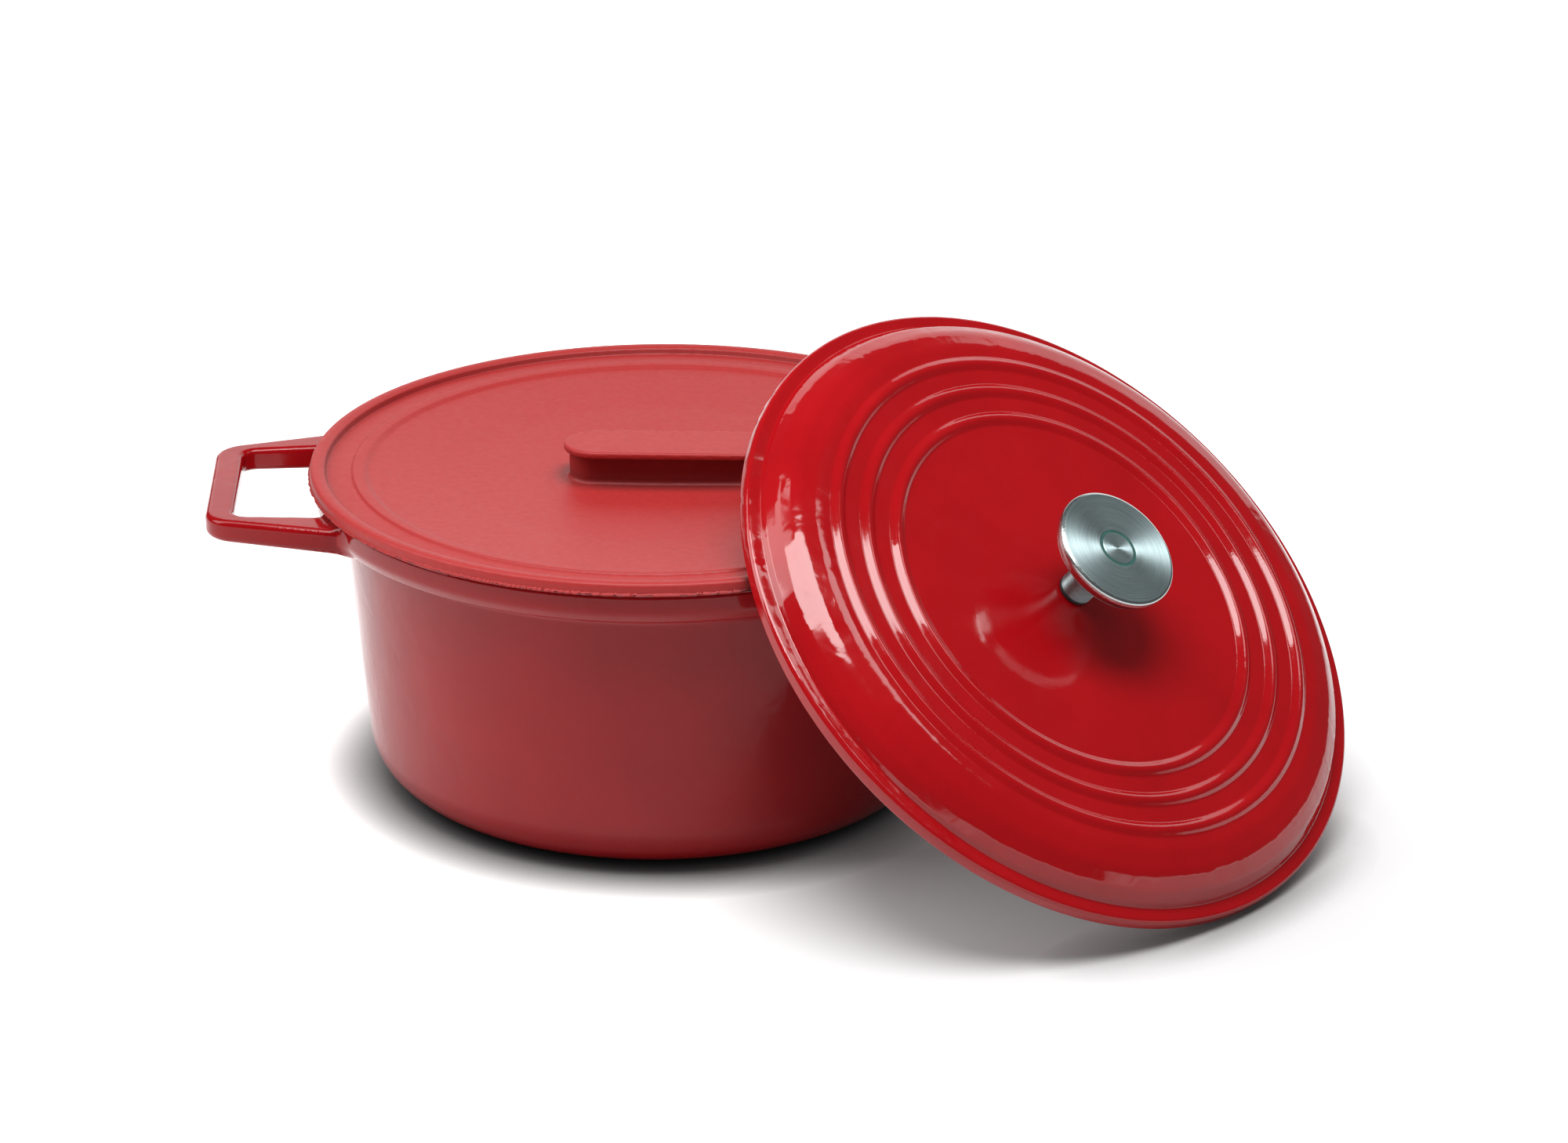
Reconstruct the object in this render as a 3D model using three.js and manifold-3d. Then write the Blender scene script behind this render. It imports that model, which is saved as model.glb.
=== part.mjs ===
// Enamelled cast iron dutch oven with its leaning cast lid and its silicone storage lid.
// Units are millimetres, +Z is up, the origin is the centre of the pot's flat base.
// The two side handles lie along X. The soft lid closes the pot; the cast lid leans
// on the rim and on the right-hand handle, and its edge stands on the table.
import * as THREE from 'three';
import { mergeVertices } from 'three/addons/utils/BufferGeometryUtils.js';
import Module from 'manifold-3d';

const wasm = await Module();
wasm.setup();

// ---------------------------------------------------------------- driving dimensions
const SEG = 72;                    // steps round every large turned piece

// pot
const BASE_PAD_R = 98.5;           // flat resting face
const BASE_CORNER_R = 22.7;        // round corner between base and wall
const WALL_R_LOW = 124.4;          // outer wall radius where the corner ends
const WALL_R_HIGH = 132.3;         // outer wall radius just under the collar
const WALL_Z_LOW = 23.7;
const WALL_Z_HIGH = 112.5;
const WALL_T = 5.0;                // wall thickness
const FLOOR_T = 5.6;               // base thickness
const COLLAR_R = 144.0;            // outer radius of the collar band
const COLLAR_Z_LOW = 119.6;        // underside of the collar band
const RIM_Z = 133.0;               // top of the rim

// side handles, one casting with the pot
const HANDLE_X = 188.0;            // outermost face of the loop
const HANDLE_Z_LOW = 120.4;
const HANDLE_Z_HIGH = 129.9;
const HANDLE_HALF_OUTER = 43.6;    // half width where side and outer lines cross
const HANDLE_SIDE_SLOPE = 0.302;   // side lines open towards the pot
const HANDLE_CORNER_R = 14.0;
const GRIP_GAP_X = 176.2;          // inner face of the bar
const GRIP_GAP_HALF = 38.6;        // half width of the finger gap at the bar
const GRIP_GAP_SLOPE = 0.085;
const GRIP_GAP_CORNER_R = 6.5;
const HANDLE_EDGE_R = 2.6;         // edge rounding of the loop
const HANDLE_DROP = 0.022;         // slope of the loop's underside

// silicone lid
const SOFT_R = 147.0;              // outer radius of its rolled rim
const SOFT_TOP_Z = 138.65;         // crest of the rim
const SOFT_SEAT_Z = 133.35;        // underside that lies on the rim of the pot
const SOFT_PLUG_R = 126.6;         // plug ring that goes into the pot
const SOFT_PLUG_Z = 123.0;
const SOFT_GRIP_TOP_Z = 144.6;
const SOFT_GRIP_L = 88.0;
const SOFT_GRIP_X = 4.5;           // centre of the grip along its own length
const SOFT_GRIP_W = 29.0;
const SOFT_GRIP_TURN = -4.7;       // degrees about Z

// cast lid, in its own axes: z = 0 is the flange's underside
const LID_R = 144.85;
const LID_FLANGE_T = 6.3;
const LID_TOP_Z = 20.3;
const LID_UNDER_Z = 16.6;
const LID_INNER_R = 135.8;         // mouth of the hollow
const LID_HOLE_R = 4.2;            // screw hole
const BEAD_R = [83.5, 97.3, 110.9];
const BEAD_HALF_W = 3.5;
const BEAD_H = 1.7;
const LID_CENTRE = [156.594, -86.006, 97.113];
const LID_NORMAL_AZ = -44.478;     // degrees, heading of the lid's axis
const LID_NORMAL_EL = 47.988;      // degrees, its rise above level

// knob, screw and their washers, in the cast lid's axes
const KNOB_R = 26.9;
const KNOB_TOP_Z = 53.4;
const KNOB_STEM_R = 7.2;
const KNOB_BASE_Z = 22.2;
const KNOB_BORE_R = 3.3;
const KNOB_BORE_TOP = 40.0;
const SCREW_R = 3.0;
const SCREW_TOP = 38.5;
const GAP = 0.3;                   // clearance between touching faces

// ---------------------------------------------------------------- helpers
const rad = (d) => (d * Math.PI) / 180;

function arc(cx, cy, r, a0, a1, n) {
  const out = [];
  for (let i = 0; i <= n; i++) {
    const a = rad(a0 + ((a1 - a0) * i) / n);
    out.push([cx + r * Math.cos(a), cy + r * Math.sin(a)]);
  }
  return out;
}

// polygon with rounded corners; pts = [[x, y, radius], ...]
function rounded(pts, steps = 4) {
  const out = [];
  const n = pts.length;
  for (let i = 0; i < n; i++) {
    const p = pts[i], a = pts[(i + n - 1) % n], b = pts[(i + 1) % n];
    const r = p[2] || 0;
    if (!r) { out.push([p[0], p[1]]); continue; }
    const u = new THREE.Vector2(a[0] - p[0], a[1] - p[1]).normalize();
    const v = new THREE.Vector2(b[0] - p[0], b[1] - p[1]).normalize();
    const half = Math.acos(THREE.MathUtils.clamp(u.dot(v), -1, 1)) / 2;
    const t = r / Math.tan(half);
    const m = u.clone().add(v).normalize().multiplyScalar(r / Math.sin(half));
    const c = new THREE.Vector2(p[0] + m.x, p[1] + m.y);
    const s = new THREE.Vector2(p[0] + u.x * t, p[1] + u.y * t).sub(c);
    const e = new THREE.Vector2(p[0] + v.x * t, p[1] + v.y * t).sub(c);
    let a0 = s.angle(), a1 = e.angle();
    while (a1 - a0 > Math.PI) a1 -= 2 * Math.PI;
    while (a1 - a0 < -Math.PI) a1 += 2 * Math.PI;
    for (let k = 0; k <= steps; k++) {
      const ang = a0 + ((a1 - a0) * k) / steps;
      out.push([c.x + r * Math.cos(ang), c.y + r * Math.sin(ang)]);
    }
  }
  return out;
}

// solid of revolution about Z from a profile of [radius, z]
function turned(profile, seg = SEG) {
  const g = new THREE.LatheGeometry(profile.map(([r, z]) => new THREE.Vector2(r, z)), seg);
  g.rotateX(Math.PI / 2);
  return g;
}

// closed geometry -> manifold solid, turned right side out if needed
function solid(geometry) {
  const g = geometry.clone();
  g.deleteAttribute('normal');
  g.deleteAttribute('uv');
  const m = mergeVertices(g, 1e-4);
  const pos = m.attributes.position;
  let idx = m.index ? Array.from(m.index.array) : [...Array(pos.count).keys()];
  const tris = [];
  for (let i = 0; i < idx.length; i += 3) {
    const [a, b, c] = [idx[i], idx[i + 1], idx[i + 2]];
    if (a !== b && b !== c && a !== c) tris.push(a, b, c);
  }
  let vol = 0;
  const A = new THREE.Vector3(), B = new THREE.Vector3(), C = new THREE.Vector3();
  for (let i = 0; i < tris.length; i += 3) {
    A.fromBufferAttribute(pos, tris[i]);
    B.fromBufferAttribute(pos, tris[i + 1]);
    C.fromBufferAttribute(pos, tris[i + 2]);
    vol += A.dot(B.cross(C)) / 6;
  }
  if (vol < 0) for (let i = 0; i < tris.length; i += 3) [tris[i + 1], tris[i + 2]] = [tris[i + 2], tris[i + 1]];
  return new wasm.Manifold(new wasm.Mesh({
    numProp: 3,
    vertProperties: new Float32Array(pos.array),
    triVerts: new Uint32Array(tris),
  }));
}

function geometryOf(manifold) {
  const m = manifold.getMesh();
  const g = new THREE.BufferGeometry();
  g.setAttribute('position', new THREE.BufferAttribute(new Float32Array(m.vertProperties), 3));
  g.setIndex(new THREE.BufferAttribute(new Uint32Array(m.triVerts), 1));
  g.computeVertexNormals();
  return g;
}

const turnedPart = (profile, seg = SEG) => geometryOf(solid(turned(profile, seg)));

function part(name, shape, material, parent) {
  const mesh = new THREE.Mesh(shape, material);
  mesh.name = name;
  parent.add(mesh);
  return mesh;
}

const enamel = () => new THREE.MeshStandardMaterial({ color: 0xb01c22, roughness: 0.16, metalness: 0.0 });
const silicone = () => new THREE.MeshStandardMaterial({ color: 0xc23a36, roughness: 0.62, metalness: 0.0 });
const steel = () => new THREE.MeshStandardMaterial({ color: 0xb9c2c2, roughness: 0.28, metalness: 1.0 });
const blackRubber = () => new THREE.MeshStandardMaterial({ color: 0x1b1b1c, roughness: 0.7, metalness: 0.0 });

const oven = new THREE.Group();

// ---------------------------------------------------------------- pot
const potOuter = [
  [0, 0], [BASE_PAD_R, 0], [BASE_PAD_R + 1.6, 0.35],
  ...arc(WALL_R_LOW - BASE_CORNER_R, BASE_CORNER_R + 1, BASE_CORNER_R, -90, 0, 8),
  [WALL_R_HIGH, WALL_Z_HIGH],
  [WALL_R_HIGH + 0.7, WALL_Z_HIGH + 2.4], [WALL_R_HIGH + 2.3, WALL_Z_HIGH + 4.4],
  [WALL_R_HIGH + 4.6, WALL_Z_HIGH + 5.6], [COLLAR_R - 5.2, COLLAR_Z_LOW - 0.9],
  [COLLAR_R - 2.6, COLLAR_Z_LOW + 0.1], [COLLAR_R - 0.7, COLLAR_Z_LOW + 1.9],
  [COLLAR_R, COLLAR_Z_LOW + 4.4],
  [COLLAR_R, RIM_Z - 2.4], [COLLAR_R - 0.7, RIM_Z - 0.8], [COLLAR_R - 2.2, RIM_Z],
  [0, RIM_Z],
];
const cavityLowR = WALL_R_LOW - WALL_T;
const cavityHighR = WALL_R_HIGH - WALL_T;
const cavity = [
  [0, FLOOR_T],
  ...arc(cavityLowR - 18.5, FLOOR_T + 18.5, 18.5, -90, 0, 6),
  [cavityHighR, WALL_Z_HIGH + 4], [cavityHighR + 0.3, RIM_Z - 1.8],
  [cavityHighR + 1.6, RIM_Z + 0.2], [cavityHighR + 1.6, RIM_Z + 12], [0, RIM_Z + 12],
];

function handleLoop(side) {
  const inX = 121;                 // the arms are rooted inside the collar band
  const yAt = (x) => HANDLE_HALF_OUTER + HANDLE_SIDE_SLOPE * (HANDLE_X - x);
  const e = HANDLE_EDGE_R;
  // the bevel grows the outline by e, so it starts smaller by e
  const outline = rounded([
    [inX, -(yAt(inX) - e)], [HANDLE_X - e, -(HANDLE_HALF_OUTER - e), HANDLE_CORNER_R - e],
    [HANDLE_X - e, HANDLE_HALF_OUTER - e, HANDLE_CORNER_R - e], [inX, yAt(inX) - e],
  ], 6);
  const gapHalf = (x) => GRIP_GAP_HALF + GRIP_GAP_SLOPE * (GRIP_GAP_X - x);
  const gapIn = 124;
  const hole = rounded([
    [gapIn, -(gapHalf(gapIn) + e)], [GRIP_GAP_X + e, -(gapHalf(GRIP_GAP_X) + e), GRIP_GAP_CORNER_R + e],
    [GRIP_GAP_X + e, gapHalf(GRIP_GAP_X) + e, GRIP_GAP_CORNER_R + e], [gapIn, gapHalf(gapIn) + e],
  ], 5);
  const shape = new THREE.Shape(outline.map(([x, y]) => new THREE.Vector2(x, y)));
  shape.holes.push(new THREE.Path(hole.map(([x, y]) => new THREE.Vector2(x, y))));
  const g = new THREE.ExtrudeGeometry(shape, {
    depth: HANDLE_Z_HIGH - HANDLE_Z_LOW - 2 * e,
    bevelEnabled: true, bevelThickness: e, bevelSize: e, bevelSegments: 3, curveSegments: 4,
  });
  g.translate(0, 0, HANDLE_Z_LOW + e);
  // the underside drops a little towards the pot
  const p = g.attributes.position;
  const mid = (HANDLE_Z_LOW + HANDLE_Z_HIGH) / 2;
  for (let i = 0; i < p.count; i++)
    if (p.getZ(i) < mid) p.setZ(i, p.getZ(i) - HANDLE_DROP * (HANDLE_X - p.getX(i)));
  if (side < 0) g.rotateZ(Math.PI);
  return solid(g);
}

const potSolid = solid(turned(potOuter))
  .add(handleLoop(1)).add(handleLoop(-1))
  .subtract(solid(turned(cavity)));
part('pot', geometryOf(potSolid), enamel(), oven);

// ---------------------------------------------------------------- silicone lid
const T = SOFT_TOP_Z;
const softProfile = [
  [0, T - 9.9], [40, T - 9.3], [80, T - 7.4], [108, T - 5.1], [121, T - 3.9],
  [123.2, T - 2.9], [127.6, T - 2.3], [128.8, T - 3.2], [138.9, T - 3.2],
  [139.7, T - 2.0], [140.2, T - 0.6], [141.6, T - 0.1], [143.6, T], [145.2, T - 0.8],
  [146.0, T - 2.2], [146.1, T - 4.1], [SOFT_R, T - 4.4], [SOFT_R, SOFT_SEAT_Z + 0.3], [146.4, SOFT_SEAT_Z],
  [128.6, SOFT_SEAT_Z], [SOFT_PLUG_R + 0.3, SOFT_SEAT_Z - 1.9], [SOFT_PLUG_R, SOFT_PLUG_Z + 1.8],
  [SOFT_PLUG_R - 1.7, SOFT_PLUG_Z], [SOFT_PLUG_R - 3.4, SOFT_PLUG_Z + 1.8],
  [SOFT_PLUG_R - 4.0, SOFT_SEAT_Z - 2.2], [116, T - 7.4], [80, T - 10.2], [40, T - 12.1], [0, T - 12.7],
];
function stadium(half, r, n = 8) {
  return [...arc(half, 0, r, -90, 90, n), ...arc(-half, 0, r, 90, 270, n)];
}
function gripSolid() {
  const half = (SOFT_GRIP_L - SOFT_GRIP_W) / 2;
  const R = SOFT_GRIP_W / 2;
  // stacked rings (end radius, height, extra side recess): foot fillet, waist, overhanging top
  const rings = [
    [R - 0.6, T - 10.6, 1.2], [R - 1.9, T - 8.4, 2.2], [R - 2.5, T - 3.0, 2.2], [R - 2.3, T + 1.6, 2.2],
    [R - 0.6, T + 3.0, 0], [R, T + 3.7, 0], [R, T + 4.8, 0], [R - 0.5, T + 5.6, 0], [R - 1.5, SOFT_GRIP_TOP_Z, 0],
  ];
  const outline = rings.map(([r, , side]) => stadium(half + side, r - side));
  const n = outline[0].length;
  const v = [], idx = [];
  rings.forEach(([, z], k) => outline[k].forEach(([x, y]) => v.push(x, y, z)));
  for (let k = 0; k + 1 < rings.length; k++)
    for (let i = 0; i < n; i++) {
      const a = k * n + i, b = k * n + ((i + 1) % n), c = a + n, d = b + n;
      idx.push(a, b, d, a, d, c);
    }
  const lo = v.length / 3; v.push(0, 0, rings[0][1]);
  const hi = v.length / 3; v.push(0, 0, SOFT_GRIP_TOP_Z);
  const top = (rings.length - 1) * n;
  for (let i = 0; i < n; i++) {
    idx.push(lo, (i + 1) % n, i, hi, top + i, top + ((i + 1) % n));
  }
  const g = new THREE.BufferGeometry();
  g.setAttribute('position', new THREE.BufferAttribute(new Float32Array(v), 3));
  g.setIndex(idx);
  g.translate(SOFT_GRIP_X, 0, 0);
  g.rotateZ(rad(SOFT_GRIP_TURN));
  return solid(g);
}
const softSolid = solid(turned(softProfile)).add(gripSolid());
part('silicone_lid', geometryOf(softSolid), silicone(), oven);

// ---------------------------------------------------------------- cast lid and knob, leaning
const lean = new THREE.Group();
{
  const az = rad(LID_NORMAL_AZ), el = rad(LID_NORMAL_EL);
  const n = new THREE.Vector3(Math.cos(az) * Math.cos(el), Math.sin(az) * Math.cos(el), Math.sin(el));
  const a = new THREE.Vector3(0, 0, 1).cross(n).normalize();
  const b = n.clone().cross(a);
  lean.quaternion.setFromRotationMatrix(new THREE.Matrix4().makeBasis(a, b, n));
  lean.position.set(...LID_CENTRE);
}
oven.add(lean);

const bead = (r) => [
  [r + BEAD_HALF_W, LID_TOP_Z], [r + 1.9, LID_TOP_Z + 0.8 * BEAD_H], [r, LID_TOP_Z + BEAD_H],
  [r - 1.9, LID_TOP_Z + 0.8 * BEAD_H], [r - BEAD_HALF_W, LID_TOP_Z],
];
const lidProfile = [
  [LID_HOLE_R, LID_UNDER_Z], [118, LID_UNDER_Z], [122.6, LID_UNDER_Z - 1.0], [126.4, LID_UNDER_Z - 3.4],
  [129.4, LID_UNDER_Z - 6.4], [131.6, 6.6], [133.2, 3.2], [LID_INNER_R - 0.7, 1.0], [LID_INNER_R, 0],
  [LID_R - 1.3, 0], [LID_R - 0.4, 0.5], [LID_R, 1.5], [LID_R, LID_FLANGE_T - 1.8],
  [LID_R - 0.6, LID_FLANGE_T - 0.6], [LID_R - 1.8, LID_FLANGE_T], [139.6, LID_FLANGE_T],
  [138.5, LID_FLANGE_T + 0.5], [137.9, LID_FLANGE_T + 1.7], [136.6, 9.9], [134.2, 12.9],
  [130.9, 15.7], [126.6, 18.2], [121.4, 19.8], [117.0, LID_TOP_Z],
  ...bead(BEAD_R[2]), ...bead(BEAD_R[1]), ...bead(BEAD_R[0]),
  [LID_HOLE_R, LID_TOP_Z + 0.15], [LID_HOLE_R, LID_UNDER_Z],
];
part('cast_lid', turnedPart(lidProfile), enamel(), lean);

const knobProfile = [
  [0, KNOB_TOP_Z - 0.7], [12, KNOB_TOP_Z - 0.5], [23.6, KNOB_TOP_Z],
  [25.3, KNOB_TOP_Z - 0.2], [26.5, KNOB_TOP_Z - 1.0], [KNOB_R, KNOB_TOP_Z - 2.3],
  [26.4, KNOB_TOP_Z - 4.3], [24.6, KNOB_TOP_Z - 6.9], [20.6, KNOB_TOP_Z - 10.2],
  [15.4, KNOB_TOP_Z - 13.2], [10.8, KNOB_TOP_Z - 16.4], [8.3, KNOB_TOP_Z - 20.0],
  [KNOB_STEM_R, KNOB_TOP_Z - 24.4], [KNOB_STEM_R, KNOB_BASE_Z + 0.6], [KNOB_STEM_R - 0.5, KNOB_BASE_Z],
  [KNOB_BORE_R, KNOB_BASE_Z], [KNOB_BORE_R, KNOB_BORE_TOP], [0, KNOB_BORE_TOP + 1.6],
];
part('knob', turnedPart(knobProfile, 48), steel(), lean);

const gasketLow = LID_TOP_Z + 0.15 + GAP;
part('knob_gasket', turnedPart([
  [3.7, gasketLow], [7.0, gasketLow], [7.2, gasketLow + 0.4], [7.0, KNOB_BASE_Z - GAP],
  [3.7, KNOB_BASE_Z - GAP], [3.7, gasketLow],
], 32), blackRubber(), lean);

const washerTop = LID_UNDER_Z - GAP;
part('screw_washer', turnedPart([
  [3.6, washerTop - 1.2], [8.6, washerTop - 1.2], [9.0, washerTop - 0.8], [9.0, washerTop],
  [3.6, washerTop], [3.6, washerTop - 1.2],
], 32), steel(), lean);

// pan-head screw with a cross-shaped drive, passed up through the lid into the knob
const headTop = washerTop - 1.2 - GAP;
const screwBody = solid(turned([
  [0, headTop - 3.6], [2.6, headTop - 3.5], [4.6, headTop - 2.8], [5.9, headTop - 1.4], [6.1, headTop - 0.4],
  [6.0, headTop], [SCREW_R, headTop], [SCREW_R, SCREW_TOP - 1.2], [SCREW_R - 1.0, SCREW_TOP], [0, SCREW_TOP],
], 24));
const slot = (turn) => {
  const g = new THREE.BoxGeometry(5.6, 1.2, 4.0);
  g.rotateZ(turn);
  g.translate(0, 0, headTop - 3.6);
  return solid(g);
};
part('knob_screw', geometryOf(screwBody.subtract(slot(0)).subtract(slot(Math.PI / 2))), steel(), lean);

export default oven;
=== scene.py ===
import math
import bpy
import numpy as np
from mathutils import Matrix, Vector


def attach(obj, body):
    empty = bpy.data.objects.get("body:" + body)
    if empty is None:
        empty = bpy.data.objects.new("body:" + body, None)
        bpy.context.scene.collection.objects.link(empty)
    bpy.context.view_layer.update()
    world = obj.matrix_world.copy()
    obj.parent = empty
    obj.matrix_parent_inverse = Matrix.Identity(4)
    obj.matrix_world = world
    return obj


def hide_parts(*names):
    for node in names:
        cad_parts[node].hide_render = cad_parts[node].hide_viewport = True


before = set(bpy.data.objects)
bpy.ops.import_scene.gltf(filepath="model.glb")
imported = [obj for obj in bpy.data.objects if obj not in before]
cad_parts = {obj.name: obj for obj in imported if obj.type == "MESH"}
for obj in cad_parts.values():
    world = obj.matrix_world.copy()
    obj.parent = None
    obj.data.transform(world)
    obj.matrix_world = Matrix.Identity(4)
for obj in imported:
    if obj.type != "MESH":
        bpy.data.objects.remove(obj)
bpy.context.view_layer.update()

MM = 0.001
scene = bpy.context.scene

# ------------------------------------------------------------------ profile helpers (mm)


def arc(cx, cy, r, a0, a1, n):
    return [
        (cx + r * math.cos(math.radians(a0 + (a1 - a0) * i / n)),
         cy + r * math.sin(math.radians(a0 + (a1 - a0) * i / n)))
        for i in range(n + 1)
    ]


def rounded(pts, closed=False, step=0.25):
    """Polyline whose corners (x, y, radius) are rounded by arcs in steps of about step mm."""
    out = []
    n = len(pts)
    for i, p in enumerate(pts):
        r = p[2] if len(p) > 2 else 0
        if not r or (not closed and i in (0, n - 1)):
            out.append((p[0], p[1]))
            continue
        a, b = pts[(i - 1) % n], pts[(i + 1) % n]
        u = np.array([a[0] - p[0], a[1] - p[1]], float)
        v = np.array([b[0] - p[0], b[1] - p[1]], float)
        lu, lv = np.linalg.norm(u), np.linalg.norm(v)
        u /= lu
        v /= lv
        half = math.acos(max(-1, min(1, float(u @ v)))) / 2
        if half > math.pi / 2 - 0.01:
            out.append((p[0], p[1]))
            continue
        t = min(r / math.tan(half), 0.49 * min(lu, lv))
        r = t * math.tan(half)
        m = (u + v) / np.linalg.norm(u + v)
        c = np.array(p[:2]) + m * r / math.sin(half)
        s, e = np.array(p[:2]) + u * t - c, np.array(p[:2]) + v * t - c
        a0, a1 = math.atan2(s[1], s[0]), math.atan2(e[1], e[0])
        while a1 - a0 > math.pi:
            a1 -= 2 * math.pi
        while a1 - a0 < -math.pi:
            a1 += 2 * math.pi
        k = max(4, int(math.ceil(abs(a1 - a0) * r / step)))
        k = min(k, 40)
        for j in range(k + 1):
            g = a0 + (a1 - a0) * j / k
            out.append((c[0] + r * math.cos(g), c[1] + r * math.sin(g)))
    return out


def resample(pts, most):
    """Adds points so that no step is longer than most."""
    out = [pts[0]]
    for a, b in zip(pts, pts[1:]):
        d = math.hypot(b[0] - a[0], b[1] - a[1])
        k = max(1, int(math.ceil(d / most)))
        for j in range(1, k + 1):
            out.append((a[0] + (b[0] - a[0]) * j / k, a[1] + (b[1] - a[1]) * j / k))
    return out


def tidy(pts, least=0.02):
    out = [pts[0]]
    for p in pts[1:]:
        if math.hypot(p[0] - out[-1][0], p[1] - out[-1][1]) > least:
            out.append(p)
    return out


# ------------------------------------------------------------------ mesh helpers


def new_object(name, mesh, material=None, matrix=None):
    ob = bpy.data.objects.new(name, mesh)
    scene.collection.objects.link(ob)
    if matrix is not None:
        ob.matrix_world = matrix
    if material is not None:
        mesh.materials.append(material)
    return ob


def lathe(name, profile, segments, material, matrix=None, closed=False):
    """Turned mesh about local Z from [(r, z)] in mm; open profiles start and end on the axis."""
    pts = tidy(profile)
    verts, faces, rings = [], [], []
    for r, z in pts:
        if r < 1e-6:
            rings.append([len(verts)])
            verts.append((0, 0, z * MM))
        else:
            base = len(verts)
            rings.append(list(range(base, base + segments)))
            for i in range(segments):
                a = 2 * math.pi * i / segments
                verts.append((r * math.cos(a) * MM, r * math.sin(a) * MM, z * MM))
    pairs = list(zip(rings, rings[1:]))
    if closed:
        pairs.append((rings[-1], rings[0]))
    for lo, hi in pairs:
        for i in range(segments):
            j = (i + 1) % segments
            if len(lo) == 1:
                faces.append((lo[0], hi[i], hi[j]))
            elif len(hi) == 1:
                faces.append((lo[i], hi[0], lo[j]))
            else:
                faces.append((lo[i], hi[i], hi[j], lo[j]))
    me = bpy.data.meshes.new(name)
    me.from_pydata(verts, [], faces)
    me.update()
    fix_normals(me)
    me.shade_smooth()
    settle(me, matrix)
    return new_object(name, me, material)


def settle(me, matrix):
    """Keeps the piece's own coordinates in the attribute "own" and a UV map that runs round its axis, then puts the mesh in the row frame."""
    n = len(me.vertices)
    co = np.empty(n * 3, np.float32)
    me.vertices.foreach_get("co", co)
    att = me.attributes.new("own", "FLOAT_VECTOR", "POINT")
    att.data.foreach_set("vector", co)
    v = co.reshape(-1, 3)
    uv = me.uv_layers.new(name="round")
    idx = np.empty(len(me.loops), np.int32)
    me.loops.foreach_get("vertex_index", idx)
    ang = np.arctan2(v[:, 1], v[:, 0])[idx] / (2 * math.pi)
    starts = np.empty(len(me.polygons), np.int32)
    totals = np.empty(len(me.polygons), np.int32)
    me.polygons.foreach_get("loop_start", starts)
    me.polygons.foreach_get("loop_total", totals)
    face = np.repeat(np.arange(len(starts)), totals)
    first = ang[starts][face]
    ang = ang + np.where(ang - first > 0.5, -1, 0) + np.where(ang - first < -0.5, 1, 0)
    far = np.hypot(v[:, 0], v[:, 1])[idx] * 10 + v[:, 2][idx] * 3
    uv.data.foreach_set("uv", np.c_[ang, far].astype(np.float32).ravel())
    if matrix is not None:
        me.transform(matrix)
    me.update()


def own_centres(me):
    """Face centres in the piece's own axes, in mm, and their distance from its axis."""
    n = len(me.vertices)
    co = np.empty(n * 3, np.float32)
    me.attributes["own"].data.foreach_get("vector", co)
    co = co.reshape(-1, 3) / MM
    c = np.array([co[list(p.vertices)].mean(0) for p in me.polygons])
    return c, np.hypot(c[:, 0], c[:, 1])


def fix_normals(me):
    import bmesh
    bm = bmesh.new()
    bm.from_mesh(me)
    bmesh.ops.recalc_face_normals(bm, faces=bm.faces)
    bm.to_mesh(me)
    bm.free()


# ------------------------------------------------------------------ implicit surfaces (mm)


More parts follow.
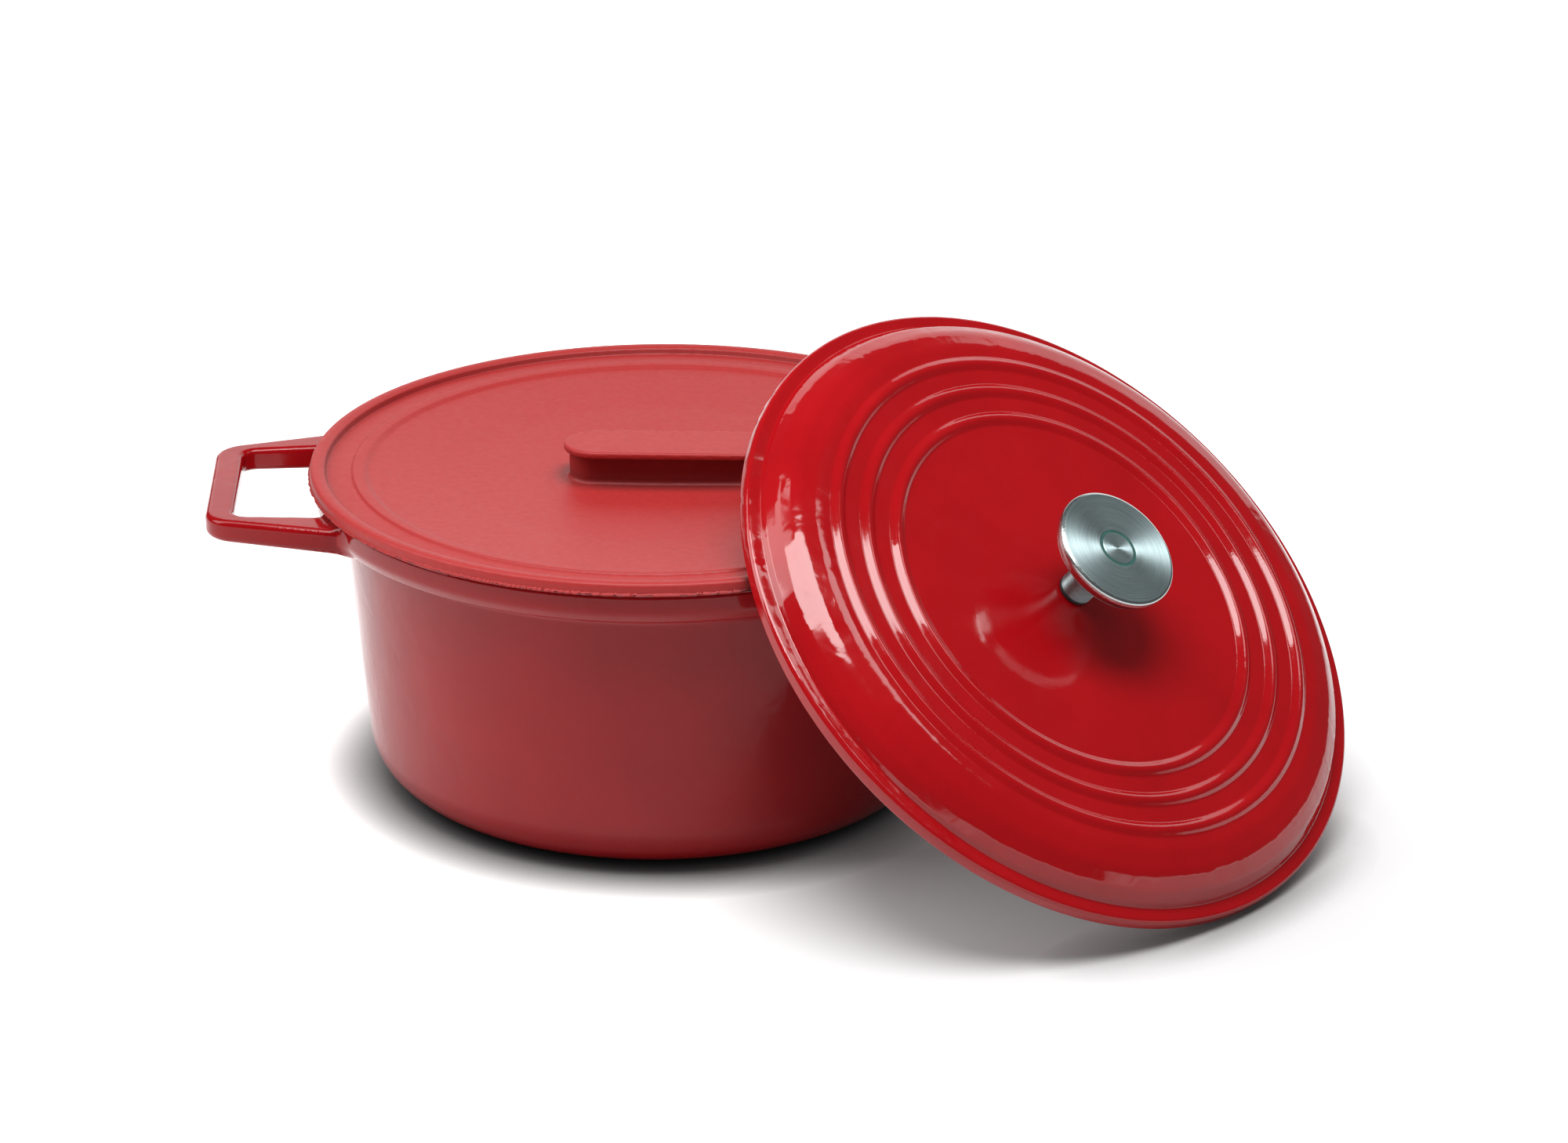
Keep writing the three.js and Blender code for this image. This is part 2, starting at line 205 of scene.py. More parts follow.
class Loops:
    """Signed distance to closed loops in a plane, with normals that turn smoothly along them."""

    def __init__(self, loops):
        A, B, NA, NB = [], [], [], []
        for loop in loops:
            p = np.array(loop, float)
            if np.linalg.norm(p[0] - p[-1]) < 1e-9:
                p = p[:-1]
            q = np.roll(p, -1, 0)
            e = q - p
            n = np.c_[e[:, 1], -e[:, 0]]
            n /= np.linalg.norm(n, axis=1)[:, None]
            area = 0.5 * np.sum(p[:, 0] * q[:, 1] - q[:, 0] * p[:, 1])
            if area < 0:
                n = -n
            if loop is not loops[0]:
                n = -n  # holes
            prev = np.roll(n, 1, 0)
            vn = n + prev
            vn /= np.linalg.norm(vn, axis=1)[:, None]
            # long straight stretches keep their own normal up to close to the corner
            A.append(p); B.append(q); NA.append(vn); NB.append(np.roll(vn, -1, 0))
        self.A, self.B = np.vstack(A), np.vstack(B)
        self.NA, self.NB = np.vstack(NA), np.vstack(NB)
        self.E = self.B - self.A
        self.L = np.sum(self.E ** 2, 1)

    def __call__(self, P):
        d = np.empty(len(P)); g = np.empty((len(P), 2))
        for s in range(0, len(P), 12000):
            p = P[s:s + 12000]
            wx = p[:, None, 0] - self.A[None, :, 0]
            wy = p[:, None, 1] - self.A[None, :, 1]
            t = np.clip((wx * self.E[:, 0] + wy * self.E[:, 1]) / self.L, 0, 1)
            dx = wx - t * self.E[:, 0]
            dy = wy - t * self.E[:, 1]
            dd = dx * dx + dy * dy
            k = dd.argmin(1)
            i = np.arange(len(p))
            up_a = self.A[:, 1][None, :] > p[:, None, 1]
            up_b = self.B[:, 1][None, :] > p[:, None, 1]
            with np.errstate(divide="ignore", invalid="ignore"):
                xc = self.A[:, 0] + wy * (self.E[:, 0] / self.E[:, 1])
            cross = (up_a != up_b) & (p[:, None, 0] < xc)
            inside = (cross.sum(1) % 2) == 1
            dist = np.sqrt(dd[i, k])
            d[s:s + 12000] = np.where(inside, -dist, dist)
            tt = t[i, k][:, None]
            n = self.NA[k] * (1 - tt) + self.NB[k] * tt
            # away from the surface the true direction is used
            true = np.c_[dx[i, k], dy[i, k]] / np.maximum(dist, 1e-9)[:, None]
            true = np.where(inside[:, None], -true, true)
            n = np.where((dist > 0.6)[:, None], true, n)
            g[s:s + 12000] = n / np.linalg.norm(n, axis=1)[:, None]
        return d, g


class Turned:
    def __init__(self, profile):
        mirror = [(-r, z) for r, z in profile[::-1] if r > 1e-6]
        self.loops = Loops([profile + mirror]) if profile[0][0] < 1e-6 else Loops([profile])

    def __call__(self, V):
        r = np.hypot(V[:, 0], V[:, 1])
        d, g = self.loops(np.c_[r, V[:, 2]])
        rr = np.maximum(r, 1e-9)
        return d, np.c_[g[:, 0] * V[:, 0] / rr, g[:, 0] * V[:, 1] / rr, g[:, 1]]


class Slab:
    """Plan loops (outline, then holes) between two heights, with rounded edges of radius e."""

    def __init__(self, loops, lo, hi, e, turn=0.0):
        self.loops, self.mid, self.half, self.e = Loops(loops), (lo + hi) / 2, (hi - lo) / 2, e
        self.c, self.s = math.cos(turn), math.sin(turn)

    def __call__(self, V):
        x = V[:, 0] * self.c + V[:, 1] * self.s
        y = -V[:, 0] * self.s + V[:, 1] * self.c
        d2, g2 = self.loops(np.c_[x, y])
        g2 = np.c_[g2[:, 0] * self.c - g2[:, 1] * self.s, g2[:, 0] * self.s + g2[:, 1] * self.c]
        dz = V[:, 2] - self.mid
        q0, q1 = d2 + self.e, np.abs(dz) - self.half + self.e
        m0, m1 = np.maximum(q0, 0), np.maximum(q1, 0)
        out = np.hypot(m0, m1)
        d = np.minimum(np.maximum(q0, q1), 0) + out - self.e
        w0 = np.where(out > 1e-9, m0 / np.maximum(out, 1e-9), (q0 > q1) * 1.0)
        w1 = np.where(out > 1e-9, m1 / np.maximum(out, 1e-9), (q0 <= q1) * 1.0)
        return d, np.c_[g2 * w0[:, None], w1 * np.sign(dz)]


def smooth_union(a, b, k):
    (da, ga), (db, gb) = a, b
    h = np.clip(0.5 + 0.5 * (db - da) / k, 0, 1)
    g = ga * h[:, None] + gb * (1 - h)[:, None]
    return db * (1 - h) + da * h - k * h * (1 - h), g


def surfaced(name, node, field, voxel, most_tris, material, slot_of=None):
    """A dense mesh of the field's zero surface, started from the CAD node's own shape."""
    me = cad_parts[node].data.copy()
    me.materials.clear()
    ob = new_object(name, me)
    mod = ob.modifiers.new("even", "REMESH")
    mod.mode = "VOXEL"
    mod.voxel_size = voxel * MM
    mod.adaptivity = 0.0

    def bake():
        dg = bpy.context.evaluated_depsgraph_get()
        baked = bpy.data.meshes.new_from_object(ob.evaluated_get(dg), depsgraph=dg)
        ob.modifiers.clear()
        old = ob.data
        ob.data = baked
        bpy.data.meshes.remove(old)

    def coords():
        v = np.empty(len(ob.data.vertices) * 3, np.float64)
        f = np.empty(len(ob.data.vertices) * 3, np.float32)
        ob.data.vertices.foreach_get("co", f)
        v[:] = f
        return v.reshape(-1, 3) / MM

    def project(rounds):
        v = coords()
        active = np.arange(len(v))
        for _ in range(rounds):
            d, g = field(v[active])
            n2 = np.maximum(np.sum(g * g, 1), 0.2)
            v[active] -= np.clip(d, -1.2, 1.2)[:, None] * g / n2[:, None]
            active = active[np.abs(d) > 0.003]
            if not len(active):
                break
        ob.data.vertices.foreach_set("co", (v * MM).astype(np.float32).ravel())
        ob.data.update()

    bake()
    project(4)
    tris = sum(len(p.vertices) - 2 for p in ob.data.polygons)
    if tris > most_tris:
        dec = ob.modifiers.new("thin", "DECIMATE")
        dec.decimate_type = "COLLAPSE"
        dec.ratio = most_tris / tris * 0.97
        bake()
        project(3)
    me = ob.data
    me.name = name
    me.materials.clear()
    for m in (material if isinstance(material, list) else [material]):
        me.materials.append(m)
    if slot_of is not None:
        c = np.empty(len(me.polygons) * 3, np.float32)
        me.polygons.foreach_get("center", c)
        nrm = np.empty(len(me.polygons) * 3, np.float32)
        me.polygons.foreach_get("normal", nrm)
        me.polygons.foreach_set("material_index", slot_of(c.reshape(-1, 3) / MM, nrm.reshape(-1, 3)).astype(np.int32))
    me.shade_smooth()
    d, g = field(coords())
    g /= np.maximum(np.linalg.norm(g, axis=1), 1e-9)[:, None]
    me.normals_split_custom_set_from_vertices(g.astype(np.float32).tolist())
    me.update()
    print(name, len(me.vertices), "vertices", len(me.polygons), "faces")
    return ob


# ------------------------------------------------------------------ materials


def srgb(r, g, b):
    def one(c):
        c /= 255
        return c / 12.92 if c <= 0.04045 else ((c + 0.055) / 1.055) ** 2.4
    return (one(r), one(g), one(b), 1.0)


class Mat:
    def __init__(self, name):
        self.m = bpy.data.materials.new(name)
        self.m.use_nodes = True
        self.nt = self.m.node_tree
        self.bsdf = next(n for n in self.nt.nodes if n.type == "BSDF_PRINCIPLED")

    def node(self, kind, **props):
        n = self.nt.nodes.new(kind)
        for k, v in props.items():
            setattr(n, k, v)
        return n

    def link(self, a, b):
        self.nt.links.new(a, b)

    def set(self, **values):
        for k, v in values.items():
            self.bsdf.inputs[k.replace("_", " ")].default_value = v

    def coords(self):
        return self.node("ShaderNodeTexCoord").outputs["Object"]

    def noise(self, vec, scale, detail=2.0, rough=0.5, dist=0.0):
        n = self.node("ShaderNodeTexNoise")
        n.inputs["Scale"].default_value = scale
        n.inputs["Detail"].default_value = detail
        n.inputs["Roughness"].default_value = rough
        n.inputs["Distortion"].default_value = dist
        self.link(vec, n.inputs["Vector"])
        return n.outputs["Fac"]

    def ramp(self, fac, stops):
        n = self.node("ShaderNodeValToRGB")
        els = n.color_ramp.elements
        while len(els) < len(stops):
            els.new(0.5)
        for e, (p, c) in zip(els, stops):
            e.position, e.color = p, c
        self.link(fac, n.inputs["Fac"])
        return n.outputs["Color"]

    def span(self, fac, lo, hi, a=0.0, b=1.0):
        n = self.node("ShaderNodeMapRange")
        n.inputs["From Min"].default_value = a
        n.inputs["From Max"].default_value = b
        n.inputs["To Min"].default_value = lo
        n.inputs["To Max"].default_value = hi
        self.link(fac, n.inputs["Value"])
        return n.outputs["Result"]

    def bump(self, height, distance, strength=1.0, normal=None):
        n = self.node("ShaderNodeBump")
        n.inputs["Distance"].default_value = distance
        n.inputs["Strength"].default_value = strength
        self.link(height, n.inputs["Height"])
        if normal is not None:
            self.link(normal, n.inputs["Normal"])
        return n.outputs["Normal"]

    def maths(self, op, a, b=None):
        n = self.node("ShaderNodeMath", operation=op)
        for i, x in enumerate((a, b)):
            if x is None:
                continue
            if isinstance(x, (int, float)):
                n.inputs[i].default_value = x
            else:
                self.link(x, n.inputs[i])
        return n.outputs["Value"]


def enamel(name, deep, light, rough=(0.06, 0.12), spec=0.5, turned=False):
    """Vitreous enamel: glassy, with a slow glaze ripple, fine orange peel and slight pooling of colour."""
    m = Mat(name)
    if turned:  # the piece's own axes
        v = m.node("ShaderNodeAttribute", attribute_type="GEOMETRY", attribute_name="own").outputs["Vector"]
    else:
        v = m.coords()
    m.set(Roughness=0.1, IOR=1.5)
    m.bsdf.inputs["Specular IOR Level"].default_value = spec
    cloud = m.noise(v, 22, 3, 0.55)
    speck = m.noise(v, 900, 2, 0.6)
    mix = m.maths("ADD", m.maths("MULTIPLY", cloud, 0.8), m.maths("MULTIPLY", speck, 0.2))
    m.link(m.ramp(mix, [(0.34, deep), (0.66, light)]), m.bsdf.inputs["Base Color"])
    m.link(m.span(m.noise(v, 60, 3), rough[0], rough[1], 0.3, 0.7), m.bsdf.inputs["Roughness"])
    wave = m.noise(v, 80, 1.5, 0.45, 0.6)
    if turned:  # runs in the glaze show on the shoulder, the middle is calmer
        sep = m.node("ShaderNodeSeparateXYZ")
        m.link(v, sep.inputs["Vector"])
        x, y = sep.outputs[0], sep.outputs[1]
        r = m.maths("SQRT", m.maths("ADD", m.maths("MULTIPLY", x, x), m.maths("MULTIPLY", y, y)))
        wave = m.maths("MULTIPLY", wave, m.span(r, 0.45, 2.2, 0.105, 0.130))
    slow = m.bump(wave, 0.00019)
    fine = m.bump(m.noise(v, 340, 2.0, 0.5), 0.000026, 1.0, slow)
    m.link(fine, m.bsdf.inputs["Normal"])
    return m.m


def silicone(name, deep, light):
    m = Mat(name)
    v = m.coords()
    m.set(Roughness=0.5, IOR=1.42)
    m.bsdf.inputs["Sheen Weight"].default_value = 0.08
    m.bsdf.inputs["Sheen Roughness"].default_value = 0.4
    tone = m.ramp(m.noise(v, 420, 4, 0.6), [(0.3, deep), (0.7, light)])
    crease_shade = m.node("ShaderNodeAmbientOcclusion", samples=8)  # painted shade: ambient occlusion darkens the base colour in grooves and under the grip's overhang
    crease_shade.inputs["Distance"].default_value = 0.014
    mix = m.node("ShaderNodeVectorMath", operation="SCALE")
    m.link(tone, mix.inputs[0])
    m.link(m.span(crease_shade.outputs["AO"], 0.10, 1.0, 0.25, 0.9), mix.inputs["Scale"])
    m.link(mix.outputs["Vector"], m.bsdf.inputs["Base Color"])
    m.link(m.span(m.noise(v, 300, 3), 0.47, 0.54, 0.3, 0.7), m.bsdf.inputs["Roughness"])
    m.link(m.bump(m.noise(v, 1500, 3, 0.6), 0.00003), m.bsdf.inputs["Normal"])
    return m.m


def turned_steel(name, base, dark):
    """Circularly brushed stainless steel: fine grooves round local Z and highlights that fan out."""
    m = Mat(name)
    v = m.node("ShaderNodeAttribute", attribute_type="GEOMETRY", attribute_name="own").outputs["Vector"]
    sep = m.node("ShaderNodeSeparateXYZ")
    m.link(v, sep.inputs["Vector"])
    x, y, z = sep.outputs
    r = m.maths("SQRT", m.maths("ADD", m.maths("MULTIPLY", x, x), m.maths("MULTIPLY", y, y)))
    ang = m.maths("ARCTAN2", y, x)
    comb = m.node("ShaderNodeCombineXYZ")
    along = m.maths("ADD", m.maths("MULTIPLY", r, 1100), m.maths("MULTIPLY", z, 700))
    m.link(along, comb.inputs[0])
    m.link(m.maths("MULTIPLY", m.maths("COSINE", ang), 0.35), comb.inputs[1])
    m.link(m.maths("MULTIPLY", m.maths("SINE", ang), 0.35), comb.inputs[2])
    groove = m.noise(comb.outputs["Vector"], 3.0, 4, 0.7)
    m.link(m.ramp(groove, [(0.35, dark), (0.65, base)]), m.bsdf.inputs["Base Color"])
    m.link(m.span(groove, 0.46, 0.54, 0.3, 0.7), m.bsdf.inputs["Roughness"])
    m.bsdf.inputs["Metallic"].default_value = 1.0
    m.bsdf.inputs["Anisotropic"].default_value = 0.86
    m.bsdf.inputs["Anisotropic Rotation"].default_value = 0.25
    t = m.node("ShaderNodeTangent", direction_type="UV_MAP", uv_map="round")
    m.link(t.outputs["Tangent"], m.bsdf.inputs["Tangent"])
    m.link(m.bump(groove, 0.000006), m.bsdf.inputs["Normal"])
    return m.m


def polished_steel(name):
    m = Mat(name)
    v = m.coords()
    m.link(m.ramp(m.noise(v, 500, 3), [(0.3, (0.52, 0.58, 0.58, 1)), (0.7, (0.60, 0.66, 0.66, 1))]), m.bsdf.inputs["Base Color"])
    m.link(m.span(m.noise(v, 900, 3), 0.16, 0.24, 0.3, 0.7), m.bsdf.inputs["Roughness"])
    m.bsdf.inputs["Metallic"].default_value = 1.0
    m.link(m.bump(m.noise(v, 2600, 2), 0.000002), m.bsdf.inputs["Normal"])
    return m.m


def rubber(name, colour):
    m = Mat(name)
    v = m.coords()
    m.link(m.ramp(m.noise(v, 200, 3), [(0.3, colour), (0.7, tuple(min(1, c * 1.6) for c in colour[:3]) + (1,))]), m.bsdf.inputs["Base Color"])
    m.link(m.span(m.noise(v, 400, 2), 0.5, 0.7), m.bsdf.inputs["Roughness"])
    m.link(m.bump(m.noise(v, 2500, 2), 0.00002), m.bsdf.inputs["Normal"])
    return m.m


RED = enamel("red_enamel", srgb(148, 7, 14), srgb(159, 10, 17), turned=True)
# painted shade: the pot has the lid's enamel, given a darker red because its walls take less light, and a weaker
# reflection
SHADED_POT_RED = enamel("red_enamel_pot_shaded", srgb(133, 6, 12), srgb(143, 9, 15), spec=0.28)
BLACK = enamel("black_enamel", srgb(20, 20, 21), srgb(30, 30, 31), (0.28, 0.42), 0.4)
SOFT = silicone("red_silicone", srgb(154, 30, 30), srgb(162, 35, 34))
STEEL = turned_steel("turned_steel", (0.40, 0.49, 0.50, 1), (0.24, 0.31, 0.32, 1))
POLISHED = polished_steel("polished_steel")
GREEN = rubber("dark_green_inlay", srgb(30, 72, 66))
RUBBER = rubber("black_rubber", srgb(16, 16, 17))

# ------------------------------------------------------------------ pot

potShape = [
    (0, 0), (98.8, 0, 0.5), (100.4, 0.75, 0.6),
    *arc(101.7, 23.7, 22.7, -86, 0, 40),
    (132.55, 117.6, 4.2), (141.6, 120.2, 3.4), (144.0, 124.5, 5.5), (144.0, 133.0, 2.2),
    (127.5, 133.0, 2.2), (127.3, 116.5, 30),
    *arc(119.4 - 18.5, 5.6 + 18.5, 18.5, 0, -90, 34),
    (0, 5.6),
]
potProfile = tidy(rounded(potShape))


def handle_loops(side):
    def y_at(x):
        return 43.6 + 0.302 * (188.0 - x)

    def gap(x):
        return 38.6 + 0.085 * (176.2 - x)
    x0 = 121.5
    line = rounded([
        (x0, -y_at(x0)), (188, -43.6, 14), (188, 43.6, 14), (x0, y_at(x0)),
        (x0, gap(x0)), (176.2, gap(176.2), 6.5), (176.2, -gap(176.2), 6.5), (x0, -gap(x0))], True)
    if side < 0:
        line = [(-x, -y) for x, y in line]
    return [line]


body = Turned(potProfile)
hands = [Slab(handle_loops(s), 120.4, 129.9, 2.6) for s in (1, -1)]


def pot_field(V):
    d, g = body(V)
    for s, h in zip((1, -1), hands):
        near = (V[:, 0] * s > 115) & (V[:, 2] > 105)
        if near.any():
            r = np.hypot(V[near, 0], V[near, 1])
            a = (d[near], g[near])
            W = V[near].copy()
            low = np.clip((128.0 - W[:, 2]) / 6.0, 0, 1)
            W[:, 2] += 0.022 * (188.0 - np.abs(W[:, 0])) * low  # the underside drops towards the pot
            b = h(W)
            k = 0.4 + 4.6 * np.clip((r - 133.0) / 6.0, 0, 1)  # a fillet outside, none in the cavity
            d[near], g[near] = smooth_union(a, b, k)
    return d, g


def pot_slots(c, n):
    r, z = np.hypot(c[:, 0], c[:, 1]), c[:, 2]
    high = r < 124.4 + (z - 23.7) * 0.089 - 2.4
    low = np.where(r > 101.7, np.hypot(r - 101.7, z - 23.7) < 20.3, z > 3.0)
    return np.where(z > 23.7, high & (z < 132.2), low).astype(int)


pot = surfaced("enamelled_pot", "pot", pot_field, 1.05, 190000, [SHADED_POT_RED, BLACK], pot_slots)
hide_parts("pot")
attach(pot, "pot_body")

# ------------------------------------------------------------------ silicone lid

T = 138.65
softShape = [
    (0, T - 9.9), (40, T - 9.3, 200), (80, T - 7.4, 200), (108, T - 5.1, 200), (121.2, T - 4.0, 3),
    (123.5, T - 2.8, 1.2), (127.9, T - 2.35, 0.9), (128.8, T - 3.2, 0.7), (139.0, T - 3.25, 0.7), (139.9, T - 0.7, 0.8),
    (142.6, T + 0.02, 3), (145.85, T - 0.2, 1.7), (146.05, T - 4.3, 0.35), (147.03, T - 4.45, 0.3), (146.9, 133.35, 0.35),
    (128.8, 133.35, 0.8), (126.7, 131.4, 0.8), (126.6, 123.0, 1.5), (123.0, 123.0, 1.5), (122.6, 131.0, 2.5),
    (116, T - 7.5, 10), (80, T - 10.2, 200), (40, T - 12.1, 200), (0, T - 12.7),
]
softProfile = tidy(rounded(softShape))
softBody = Turned(resample(softProfile, 4.0))
GRIP_TURN = math.radians(-4.7)


def stadium(half, r, n=48):
    return arc(half, 0, r, -90, 90, n) + arc(-half, 0, r, 90, 270, n)


gripTop = Slab([[(x + 4.5, y) for x, y in stadium(29.5, 14.5)]], T + 2.9, 144.6, 1.0, GRIP_TURN)
gripWeb = Slab([[(x + 4.5, y) for x, y in stadium(31.7, 10.0)]], T - 11.5, T + 3.6, 0.5, GRIP_TURN)


def soft_field(V):
    d, g = softBody(V)
    near = (np.abs(V[:, 0]) < 60) & (np.abs(V[:, 1]) < 32)
    if near.any():
        web = gripWeb(V[near])
        top = gripTop(V[near])
        dd, gg = smooth_union((d[near], g[near]), web, 2.2)
        dd, gg = smooth_union((dd, gg), top, 1.2)
        d[near], g[near] = dd, gg
    return d, g


soft = surfaced("soft_storage_lid", "silicone_lid", soft_field, 0.85, 190000, SOFT)
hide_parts("silicone_lid")
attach(soft, "soft_lid_body")

# ------------------------------------------------------------------ cast lid and what is on it

az, el = math.radians(-44.478), math.radians(47.988)
N = Vector((math.cos(az) * math.cos(el), math.sin(az) * math.cos(el), math.sin(el)))
A = Vector((0, 0, 1)).cross(N).normalized()
B = N.cross(A)
LEAN = Matrix.Translation(Vector((156.594, -86.006, 97.113)) * MM) @ Matrix((
    (A.x, B.x, N.x, 0), (A.y, B.y, N.y, 0), (A.z, B.z, N.z, 0), (0, 0, 0, 1)))

TOP, UNDER, FL = 20.3, 16.6, 6.3


def top_line(r):
    """Lid's outer surface without beads, from the shoulder inwards: very slightly crowned."""
    return TOP - 0.15 * max(0.0, (r - 60) / 60) ** 2


def bead_line():
    pts = []
    r = 117.5
    while r > 4.2:
        z = top_line(r)
        for c in (110.9, 97.3, 83.5):
            u = (r - c) / 3.7
            if abs(u) < 1:
                z += 1.7 * (0.5 + 0.5 * math.cos(math.pi * u)) ** 0.72
        pts.append((r, z))
        r -= 0.35 if r > 79 else 2.5
    pts.append((4.2, top_line(4.2)))
    return pts


lidShape = [
    (4.2, UNDER), (116.0, UNDER, 8), (125.5, 14.2, 9), (130.6, 8.6, 9), (134.4, 0.0, 1.6),
    (144.85, 0.0, 1.5), (144.85, FL, 1.9), (138.6, FL, 0.9), (137.6, 8.6, 5), (134.6, 12.9, 9),
    (128.4, 17.7, 14), (119.8, 20.15, 16),
]
lidProfile = tidy(rounded(lidShape) + bead_line())
lid = lathe("enamelled_lid", resample(lidProfile + [lidProfile[0]], 2.5)[:-1], 320, RED, LEAN, closed=True)
lid.data.materials.append(BLACK)
c, rr = own_centres(lid.data)
under = np.where(rr < 118, c[:, 2] < 18.4, (rr < 134.2) & (c[:, 2] < 3 + (136.5 - rr) * (15.4 / 18.5)))
lid.data.polygons.foreach_set("material_index", (under & (rr > 4.3)).astype(np.int32))
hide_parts("cast_lid")
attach(lid, "cast_lid_body")

K = 53.4
knobShape = [
    (0, K - 0.2), (7.2, K - 0.2), (7.35, K - 0.45, 0.1), (8.5, K - 0.45, 0.1), (8.65, K - 0.2), (25.4, K - 0.02, 0.4),
    (26.6, K - 0.5, 0.9), (26.95, K - 2.6, 1.6), (25.0, K - 6.6, 4), (19.2, K - 11.0, 8), (11.6, K - 15.4, 8),
    (7.9, K - 20.6, 8), (7.2, K - 26.0, 4), (7.2, 22.2, 0.5), (3.3, 22.2, 0.2), (3.3, 40.0), (0, 41.6),
]
knob = lathe("steel_knob", resample(tidy(rounded(knobShape, step=0.15)), 0.8), 160, STEEL, LEAN)
knob.data.materials.append(GREEN)
knob.data.materials.append(POLISHED)
c, rr = own_centres(knob.data)
knob.data.polygons.foreach_set("material_index", np.where(
    (rr > 7.25) & (rr < 8.6) & (c[:, 2] > K - 1.2), 1, np.where((rr > 25.2) & (c[:, 2] > K - 6), 2, 0)).astype(np.int32))
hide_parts("knob")
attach(knob, "cast_lid_body")

G0 = 20.3 + 0.15 + 0.3
gasket = lathe("knob_seal", rounded([(3.7, G0, 0.2), (7.15, G0, 0.3), (7.15, 21.9, 0.3), (3.7, 21.9, 0.2)], True, 0.1), 96, RUBBER, LEAN, closed=True)
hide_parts("knob_gasket")
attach(gasket, "cast_lid_body")

W = UNDER - 0.3
washer = lathe("screw_washer_ring", rounded([(3.6, W - 1.2, 0.15), (9.0, W - 1.2, 0.35), (9.0, W, 0.2), (3.6, W, 0.15)], True, 0.1), 96, STEEL, LEAN, closed=True)
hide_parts("screw_washer")
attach(washer, "cast_lid_body")

# the screw: a domed head with a cross recess, and a threaded shank
H = W - 1.2 - 0.3
headShape = [(0, H - 3.6), (2.4, H - 3.55, 2), (5.0, H - 2.5, 3), (6.1, H - 0.6, 1.2), (6.1, H, 0.3), (2.95, H, 0.2)]
thread = []
z = H + 1.2
while z < 37.4:
    thread += [(2.98, z), (2.98, z + 0.12), (2.62, z + 0.5), (2.62, z + 0.6)]
    z += 1.0
screwShape = rounded(headShape, step=0.15) + thread + [(2.6, 37.8), (1.9, 38.5), (0, 38.5)]
screw = lathe("lid_screw", screwShape, 96, STEEL, LEAN)
cut = []
for turn in (0, math.pi / 2):
    import bmesh
    bm = bmesh.new()
    bmesh.ops.create_cube(bm, size=1.0)
    for v in bm.verts:
        taper = 0.72 if v.co.z > 0 else 1.0
        v.co = Vector((v.co.x * 5.4 * taper, v.co.y * 1.25 * taper, v.co.z * 4.4 + H - 3.7)) * MM
    bmesh.ops.rotate(bm, verts=bm.verts, cent=(0, 0, 0), matrix=Matrix.Rotation(turn, 3, "Z"))
    me = bpy.data.meshes.new("cross%d" % len(cut))
    bm.to_mesh(me)
    bm.free()
    me.transform(LEAN)
    tool = new_object("cross%d" % len(cut), me)
    mod = screw.modifiers.new("cross", "BOOLEAN")
    mod.operation, mod.object, mod.solver = "DIFFERENCE", tool, "EXACT"
    cut.append(tool)
bpy.context.view_layer.update()
dg = bpy.context.evaluated_depsgraph_get()
baked = bpy.data.meshes.new_from_object(screw.evaluated_get(dg), depsgraph=dg)
screw.modifiers.clear()
screw.data = baked
for t in cut:
    bpy.data.objects.remove(t)
screw.data.shade_smooth()
screw.data.set_sharp_from_angle(angle=math.radians(40))
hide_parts("knob_screw")
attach(screw, "cast_lid_body")

# ------------------------------------------------------------------ studio


def pale(name):
    """Matte white sweep with painted light: it glows a little away from the object, so that it runs out to plain white,
    and a painted contact shadow darkens it close to the pieces.
    """
    m = Mat(name)
    v = m.coords()
    m.set(Roughness=0.9)
    m.bsdf.inputs["Specular IOR Level"].default_value = 0.1

    def away(x, y, near, far):
        d = m.node("ShaderNodeVectorMath", operation="DISTANCE")
        m.link(v, d.inputs[0])
        d.inputs[1].default_value = (x, y, 0)
        r = m.node("ShaderNodeMapRange", interpolation_type="SMOOTHSTEP")
        r.inputs["From Min"].default_value, r.inputs["From Max"].default_value = near, far
        m.link(d.outputs["Value"], r.inputs["Value"])
        return r.outputs["Result"]
    sep = m.node("ShaderNodeSeparateXYZ")
    m.link(v, sep.inputs["Vector"])
    back = m.span(m.maths("ADD", sep.outputs[1], m.maths("MULTIPLY", sep.outputs[0], -0.6)), 0.15, 1.0, -0.35, 0.0)
    reach = m.maths("MAXIMUM", back, away(0.1, -0.2, 0.30, 0.60))
    glow = m.maths("MULTIPLY", reach, m.maths("MINIMUM", away(0, 0, 0.10, 0.165), away(0.17, -0.14, 0.07, 0.21)))
    # painted contact shadow: ambient occlusion darkens the floor's colour and its glow close to the pieces
    near = m.node("ShaderNodeAmbientOcclusion", samples=8)
    near.inputs["Distance"].default_value = 0.026
    shade = m.maths("POWER", near.outputs["AO"], 1.6)
    m.bsdf.inputs["Emission Color"].default_value = (1, 1, 1, 1)
    m.link(m.maths("MULTIPLY", shade, m.maths("ADD", m.maths("MULTIPLY", glow, 0.65), 0.07)), m.bsdf.inputs["Emission Strength"])
    tone = m.ramp(m.noise(v, 3, 2), [(0.0, (0.60, 0.60, 0.60, 1)), (1.0, (0.62, 0.62, 0.62, 1))])
    mix = m.node("ShaderNodeVectorMath", operation="SCALE")
    m.link(tone, mix.inputs[0])
    m.link(shade, mix.inputs["Scale"])
    m.link(mix.outputs["Vector"], m.bsdf.inputs["Base Color"])
    return m.m


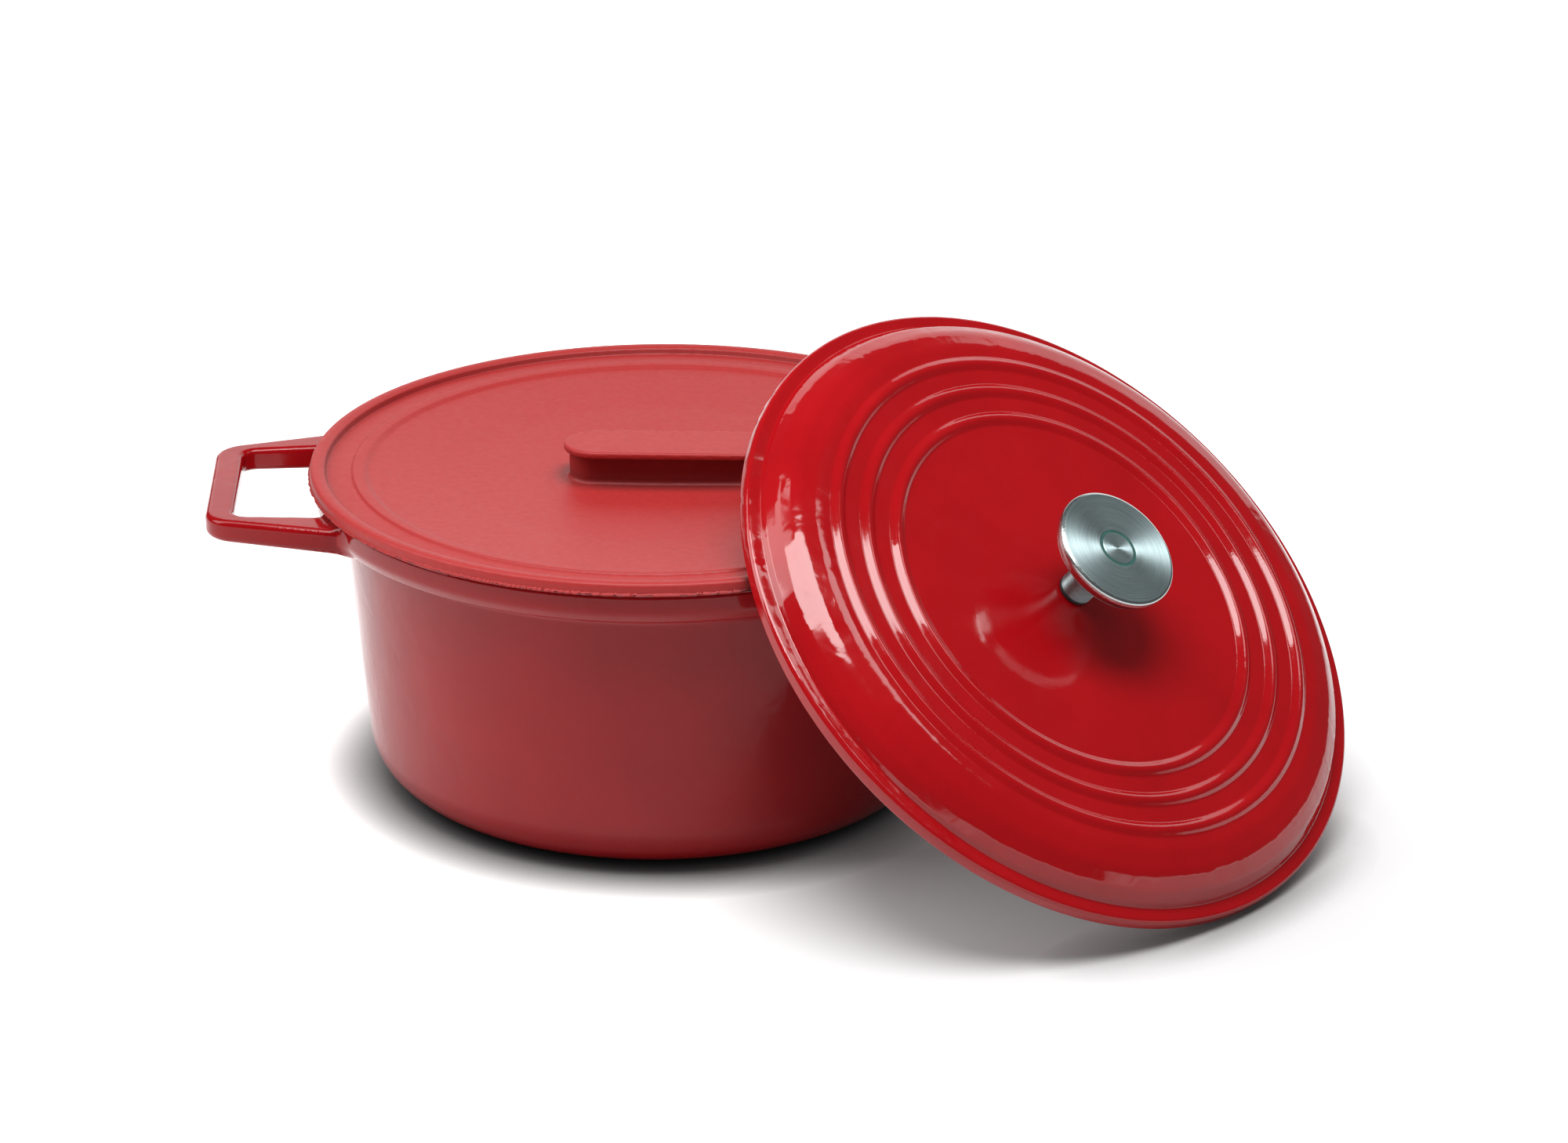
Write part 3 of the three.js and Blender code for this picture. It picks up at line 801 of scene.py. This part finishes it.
me = bpy.data.meshes.new("floor")
S = 6.0
me.from_pydata([(-S, -S, 0), (S, -S, 0), (S, S, 0), (-S, S, 0)], [], [(0, 1, 2, 3)])
floor = new_object("floor", me, pale("pale_floor"))
floor.location.z = -0.0002

world = bpy.data.worlds.new("studio")
scene.world = world
world.use_nodes = True
bg = world.node_tree.nodes["Background"]
bg.inputs["Color"].default_value = (1, 1, 1, 1)
bg.inputs["Strength"].default_value = 0.10


def area(name, loc, target, sx, sy, watts, colour=(1, 1, 1), shape="RECTANGLE"):
    l = bpy.data.lights.new(name, "AREA")
    l.shape, l.size, l.size_y, l.energy, l.color = shape, sx, sy, watts, colour
    ob = bpy.data.objects.new(name, l)
    scene.collection.objects.link(ob)
    ob.location = loc
    ob.rotation_euler = (Vector(target) - Vector(loc)).to_track_quat("-Z", "Y").to_euler()
    return ob


def strip(name, loc, turn, sx, sy, watts, shape="RECTANGLE"):
    """Overhead box that looks straight down, its long side turned about Z."""
    ob = area(name, loc, (loc[0], loc[1], 0), sx, sy, watts, shape=shape)
    ob.rotation_euler = (0, 0, math.radians(turn))
    return ob


strip("key_box", (0.12, -0.48, 1.5), 18, 1.25, 0.72, 25, "ELLIPSE")
strip("key_box_end", (1.22, 0.03, 1.5), 18, 0.75, 0.45, 4.5)
strip("top_fill", (-0.90, -0.18, 1.5), 0, 1.3, 0.8, 12)
area("left_box", (-1.6, -0.1, 1.1), (0.0, -0.05, 0.1), 0.9, 1.0, 13)
area("back_box", (0.5, 2.3, 0.95), (0.1, 0.0, 0.1), 3.4, 1.8, 21)

cam = bpy.data.cameras.new("camera")
cam.sensor_width = 36.0
cam.lens = 106.61
cam.clip_start, cam.clip_end = 0.05, 30
camera = bpy.data.objects.new("camera", cam)
scene.collection.objects.link(camera)
camera.location = (-0.036473, -1.835191, 0.817633)
camera.rotation_euler = (math.pi / 2 - 0.379505, 0, math.radians(-2.8))
scene.camera = camera
scene.view_settings.view_transform = "Standard"
scene.view_settings.look = "None"
